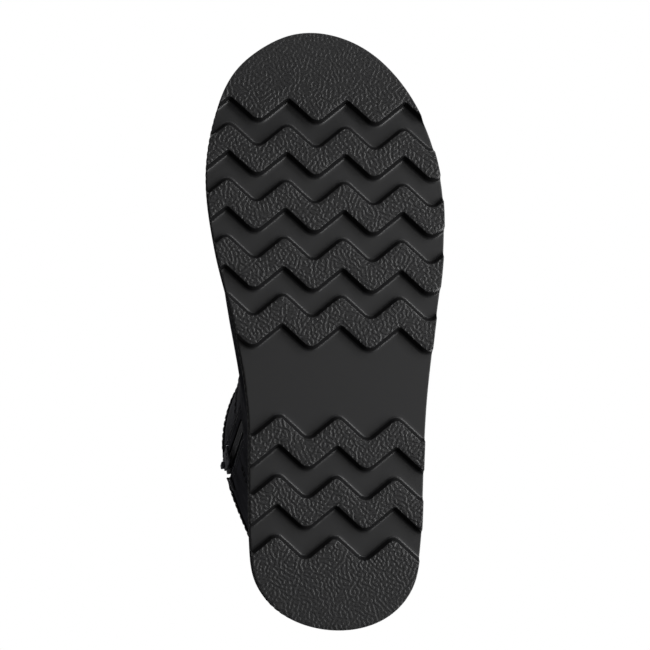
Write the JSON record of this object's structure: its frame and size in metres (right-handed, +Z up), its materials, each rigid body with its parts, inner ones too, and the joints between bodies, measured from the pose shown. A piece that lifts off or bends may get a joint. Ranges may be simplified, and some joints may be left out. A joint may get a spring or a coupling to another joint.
{
  "type": "winter boot",
  "caption": "Left ankle-high winter boot: moulded sole with zigzag tread, sewn suede upper, fleece lining and a zip on the inner side.",
  "frame": {"origin": "middle of the boot's box in X and Y, on the ground", "axes": "+Y towards the toe, +X towards the inner (medial) side of the left foot, +Z up"},
  "size_m": [0.1082, 0.2696, 0.203],
  "materials": {
    "tread_rubber": "moulded black rubber, leather-like wrinkle on the ribs, satin in the grooves",
    "sole_foam": "moulded dark charcoal side wall, fine matt skin",
    "suede": "black suede with a short nap",
    "smooth_leather": "black smooth leather, semi-matt",
    "fleece": "dark grey curly fleece",
    "webbing": "black woven tape",
    "insole_board": "brown fibre board",
    "stiffener": "pressed thermoplastic sheet",
    "zip_plastic": "black moulded teeth",
    "zip_metal": "black-nickel plated metal",
    "steel": "spring steel strip"
  },
  "bodies": {
    "boot": {"outsole": "tread_rubber", "midsole": "sole_foam", "foxing_band": "tread_rubber", "shank": "steel", "heel_cushion": "sole_foam", "insole_board": "insole_board", "footbed": "fleece", "toe_puff": "stiffener", "heel_stiffener": "stiffener", "lining": "fleece", "vamp": "suede", "quarter_medial": "suede", "quarter_lateral": "suede", "heel_counter": "suede", "shaft_front": "suede", "shaft_back": "suede", "back_stay": "suede", "collar_binding": "smooth_leather", "pull_tab": "webbing", "zip_guard": "webbing", "zip_tape_front": "webbing", "zip_tape_rear": "webbing", "zip_teeth_front": "zip_plastic", "zip_teeth_rear": "zip_plastic", "zip_top_stop_front": "zip_plastic", "zip_top_stop_rear": "zip_plastic", "zip_bottom_stop": "zip_plastic", "collar_snap": "zip_metal"},
    "slider": {"zip_slider": "zip_metal"},
    "puller": {"zip_puller": "zip_metal"}
  },
  "joints": [
    {"name": "zip_slide", "type": "slide", "parent": "boot", "child": "slider", "axis": [-0.0355, 0.196, -0.98], "range_m": [0, 0.079]},
    {"name": "puller_swing", "type": "hinge", "parent": "slider", "child": "puller", "pos_m": [0.03756, -0.06072, 0.1737], "axis": [-0.1864, -0.9647, -0.1862], "range_deg": [0, 150]}
  ]
}
